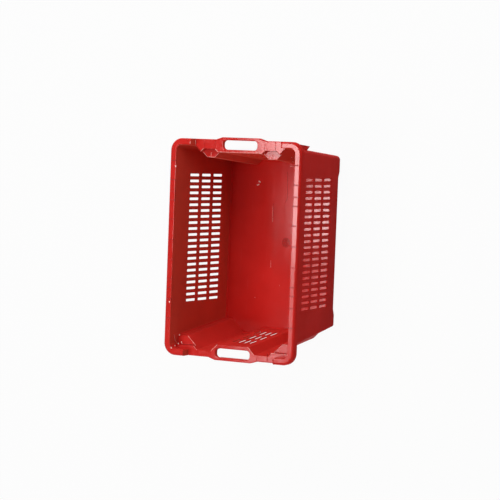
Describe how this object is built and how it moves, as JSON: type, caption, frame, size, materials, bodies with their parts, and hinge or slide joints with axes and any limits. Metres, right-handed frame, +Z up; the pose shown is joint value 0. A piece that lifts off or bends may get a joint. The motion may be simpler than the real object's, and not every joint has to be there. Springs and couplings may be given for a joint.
{
  "type": "plastic crate",
  "caption": "Red tapered harvest crate with slotted walls and hand holes: stacks when turned end for end, nests when not turned",
  "frame": {"origin": "middle of the crate on the ground, between its feet", "axes": "+X along the crate to end A, which has the nesting webs; +Y to the left; +Z up"},
  "size_m": [0.613, 0.4, 0.32],
  "materials": {
    "red_plastic": "semi-gloss moulded polyolefin with fine scuffs"
  },
  "bodies": {
    "root": {"base_panel": "red_plastic", "base_ribs_cross": "red_plastic", "base_ribs_long": "red_plastic", "corner_hood_b_left": "red_plastic", "corner_hood_b_right": "red_plastic", "corner_post_a_left": "red_plastic", "corner_post_a_right": "red_plastic", "corner_post_b_left": "red_plastic", "corner_post_b_right": "red_plastic", "corner_rim_a_left": "red_plastic", "corner_rim_a_right": "red_plastic", "corner_rim_b_left": "red_plastic", "corner_rim_b_right": "red_plastic", "end_flange_a_left": "red_plastic", "end_flange_a_right": "red_plastic", "end_flange_b_left": "red_plastic", "end_flange_b_right": "red_plastic", "end_panel_a": "red_plastic", "end_panel_b": "red_plastic", "flange_ribs_a_left": "red_plastic", "flange_ribs_a_right": "red_plastic", "flange_ribs_b_left": "red_plastic", "flange_ribs_b_right": "red_plastic", "foot_column_b_left": "red_plastic", "foot_column_b_right": "red_plastic", "groove_column_a_left": "red_plastic", "groove_column_a_right": "red_plastic", "handle_bar_a": "red_plastic", "handle_bar_b": "red_plastic", "handle_grip_a": "red_plastic", "handle_grip_b": "red_plastic", "nesting_web_a_left": "red_plastic", "nesting_web_a_right": "red_plastic", "rim_ribs_left": "red_plastic", "rim_ribs_right": "red_plastic", "rim_step_a_left": "red_plastic", "rim_step_a_right": "red_plastic", "rim_step_b_left": "red_plastic", "rim_step_b_right": "red_plastic", "side_rim_left": "red_plastic", "side_rim_right": "red_plastic", "side_wall_left": "red_plastic", "side_wall_right": "red_plastic", "stacking_ledge_a_left": "red_plastic", "stacking_ledge_a_right": "red_plastic", "stacking_ledge_b_left": "red_plastic", "stacking_ledge_b_right": "red_plastic"}
  },
  "joints": []
}
